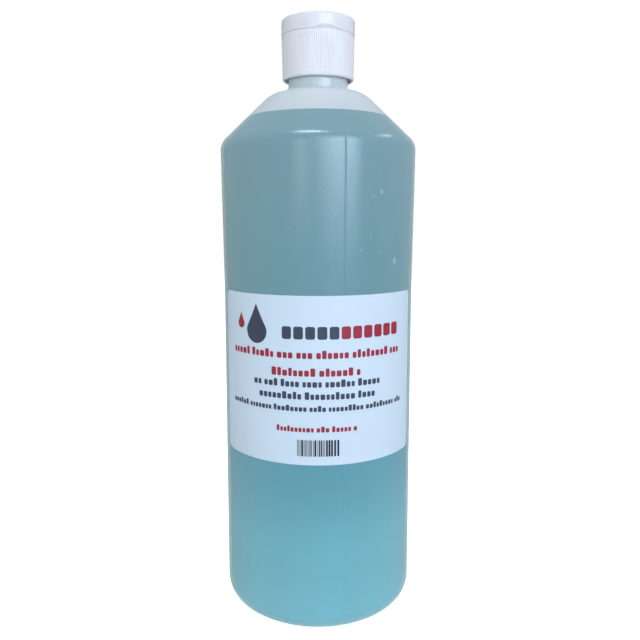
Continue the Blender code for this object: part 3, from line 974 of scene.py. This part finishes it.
def make_stage():
    """Pale round floor that fades into a white room."""
    radius, count = 4.0, 96
    verts = [(0.0, 0.0, 0.0)]
    for index in range(count):
        angle = math.tau * index / count
        verts.append((radius * math.cos(angle), radius * math.sin(angle), 0.0))
    faces = [(0, 1 + index, 1 + (index + 1) % count) for index in range(count)]
    floor = new_piece("studio_floor", verts, faces)
    material, tree, shader = new_material("studio_white")
    shader.inputs["Base Color"].default_value = (0.80, 0.81, 0.82, 1.0)
    shader.inputs["Roughness"].default_value = 0.9
    shader.inputs["Specular IOR Level"].default_value = 0.0
    shader.inputs["Emission Color"].default_value = (1.0, 1.0, 1.0, 1.0)
    tree.links.new(camera_only(tree, 0.10, 0.70), shader.inputs["Emission Strength"])
    floor.data.materials.append(material)
    floor.visible_glossy = False


def softbox(name, azimuths, elevations, colour, strength, fades=(0.0, 0.0, 0.0), glossy=True):
    """Glowing panel seen from the bottle between two azimuths (to the right of the camera) and two
    elevations. Its light fades in over so many degrees from its left, lower and upper edges."""
    columns, rows = 30, 20
    verts, glow = [], []
    for row in range(rows + 1):
        elevation = elevations[0] + (elevations[1] - elevations[0]) * row / rows
        for column in range(columns + 1):
            azimuth = azimuths[0] + (azimuths[1] - azimuths[0]) * column / columns
            flat = PANEL_DISTANCE * math.cos(math.radians(elevation))
            x, y = flat * math.sin(math.radians(azimuth)), -flat * math.cos(math.radians(azimuth))
            z = PANEL_CENTRE + PANEL_DISTANCE * math.sin(math.radians(elevation))
            verts.append((x, y, z))
            depths = (azimuth - azimuths[0], elevation - elevations[0], elevations[1] - elevation)
            share = 1.0
            for depth, fade in zip(depths, fades):
                share *= smooth(depth / fade) if fade else 1.0
            glow.append(share)
    faces = []
    for row in range(rows):
        for column in range(columns):
            a = row * (columns + 1) + column
            faces.append((a, a + columns + 1, a + columns + 2, a + 1))
    panel = new_piece(name, verts, faces)
    panel.data.attributes.new("glow", "FLOAT", "POINT").data.foreach_set("value", glow)
    material, tree, shader = new_material(name)
    shader.inputs["Base Color"].default_value = (0.0, 0.0, 0.0, 1.0)
    shader.inputs["Specular IOR Level"].default_value = 0.0
    shader.inputs["Emission Color"].default_value = (*colour, 1.0)
    share = tree.nodes.new("ShaderNodeAttribute")
    share.attribute_name = "glow"
    power = tree.nodes.new("ShaderNodeMath")
    power.operation = "MULTIPLY"
    power.inputs[1].default_value = strength
    tree.links.new(share.outputs["Fac"], power.inputs[0])
    tree.links.new(power.outputs["Value"], shader.inputs["Emission Strength"])
    panel.data.materials.append(material)
    panel.visible_camera = False
    panel.visible_shadow = False
    panel.visible_glossy = glossy


def make_lights():
    """Soft daylight: a tall window to the right of the camera, a paler wall to its left, two
    skylights, faint light from the left and behind, and a room that is warm grey all round."""
    pale = (0.97, 0.99, 1.0)
    softbox("window", (-12.0, 45.0), (-6.0, 54.0), (0.72, 0.85, 1.0), 5.1, (32.0, 14.0, 36.0))
    softbox("wall", (-27.0, 16.0), (-6.0, 30.0), (1.0, 0.93, 0.94), 2.3, (3.0, 14.0, 20.0))
    softbox("skylight", (-53.0, 11.0), (69.0, 79.0), pale, 14.0)
    softbox("second_skylight", (92.0, 120.0), (38.0, 43.0), pale, 7.0)
    softbox(
        "left_fill", (-100.0, -45.0), (-4.0, 30.0), (0.66, 0.98, 1.0), 0.65, (20.0, 0.0, 14.0),
        glossy=False,
    )
    softbox("back_fill", (135.0, 287.0), (-4.0, 50.0), (0.90, 0.97, 1.0), 0.8, glossy=False)
    softbox("back_window", (173.0, 189.0), (0.0, 50.0), (0.86, 0.93, 1.0), 3.0, (4.0, 10.0, 20.0))
    world = bpy.data.worlds.new("room")
    bpy.context.scene.world = world
    world.use_nodes = True
    tree = world.node_tree
    background = tree.nodes["Background"]
    place = tree.nodes.new("ShaderNodeTexCoord")
    split = tree.nodes.new("ShaderNodeSeparateXYZ")
    tree.links.new(place.outputs["Generated"], split.inputs["Vector"])
    up = tree.nodes.new("ShaderNodeMapRange")
    up.inputs["From Min"].default_value = 0.0
    up.inputs["From Max"].default_value = 0.8
    tree.links.new(split.outputs["Z"], up.inputs["Value"])
    room = blend_colours(tree, up.outputs["Result"], (0.28, 0.25, 0.21), (0.36, 0.37, 0.39))
    seen = blend_colours(tree, camera_only(tree, 0.0, 1.0), room, (1.0, 1.0, 1.0))
    tree.links.new(seen, background.inputs["Color"])
    background.inputs["Strength"].default_value = 1.0


def make_camera():
    """Camera a little above the middle of the bottle, close, looking slightly down."""
    camera = bpy.data.cameras.new("camera")
    camera.sensor_width = 36.0
    camera.lens = 38.36
    camera.shift_x = 0.003
    camera.shift_y = -0.0298
    item = bpy.data.objects.new("camera", camera)
    bpy.context.scene.collection.objects.link(item)
    item.location = (0.0, -0.30045, 0.1684)
    item.rotation_euler = (math.radians(90 - 6.86), 0.0, 0.0)
    bpy.context.scene.camera = item


def main():
    """Camera, stage and lights, then the pieces of the bottle, its label, cap and lid."""
    make_camera()
    make_stage()
    make_lights()
    bpy.context.scene.view_settings.view_transform = "Standard"
    white = white_polypropylene()
    make_bottle()
    make_liquid()
    make_bubbles()
    make_label()
    make_print()
    make_liner()
    make_cap(white)
    make_lid(white)
    make_hinge(white)


main()
